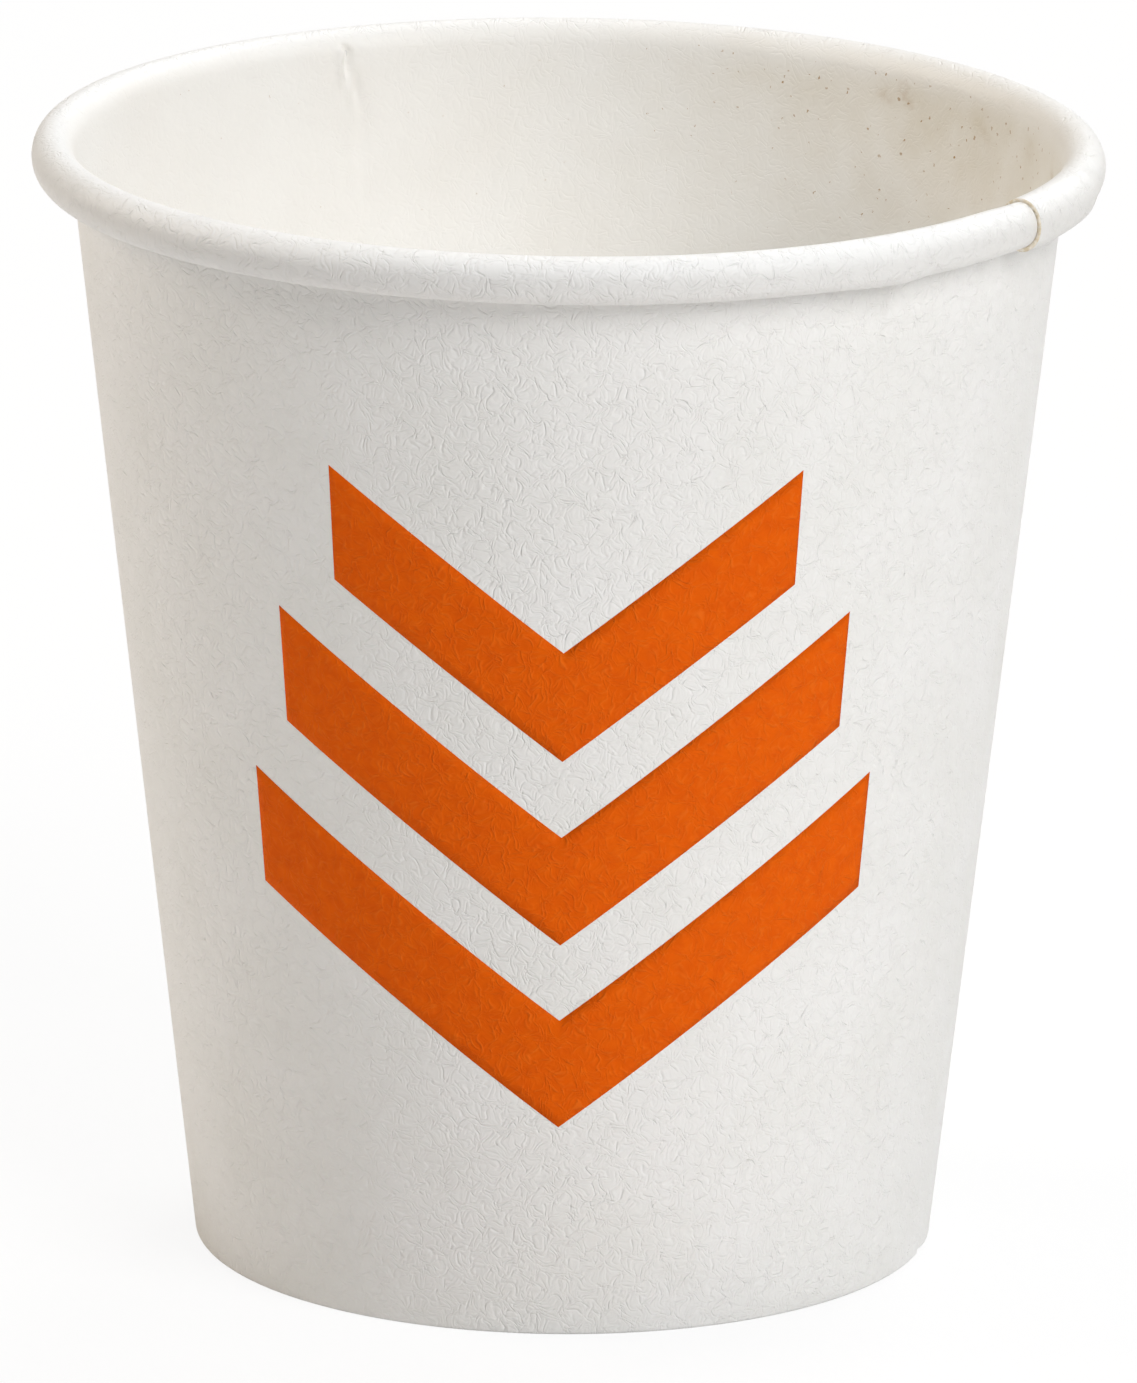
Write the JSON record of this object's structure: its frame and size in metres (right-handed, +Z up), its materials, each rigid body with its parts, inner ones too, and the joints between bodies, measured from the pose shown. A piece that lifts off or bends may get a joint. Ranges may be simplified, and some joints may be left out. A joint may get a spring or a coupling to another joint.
{
  "type": "paper cup",
  "caption": "Single-wall paper drinking cup with a rolled rim, a lapped side seam, a recessed bottom and an orange chevron print.",
  "frame": {"origin": "centre of the base ring, on the surface that the cup stands on", "axes": "+Z up along the cup's axis; the printed front faces -Y and the side seam is to its right, towards +X"},
  "size_m": [0.073, 0.073, 0.0778],
  "materials": {
    "wall_paper": "uncoated matte outside, thin clear film inside",
    "bottom_paper": "matte, thin clear film on the upper face",
    "print_ink": "matte flexographic ink on paper"
  },
  "bodies": {
    "root": {"side_wall": "wall_paper", "bottom_disc": "bottom_paper", "upper_chevron": "print_ink", "middle_chevron": "print_ink", "lower_chevron": "print_ink"}
  },
  "joints": []
}
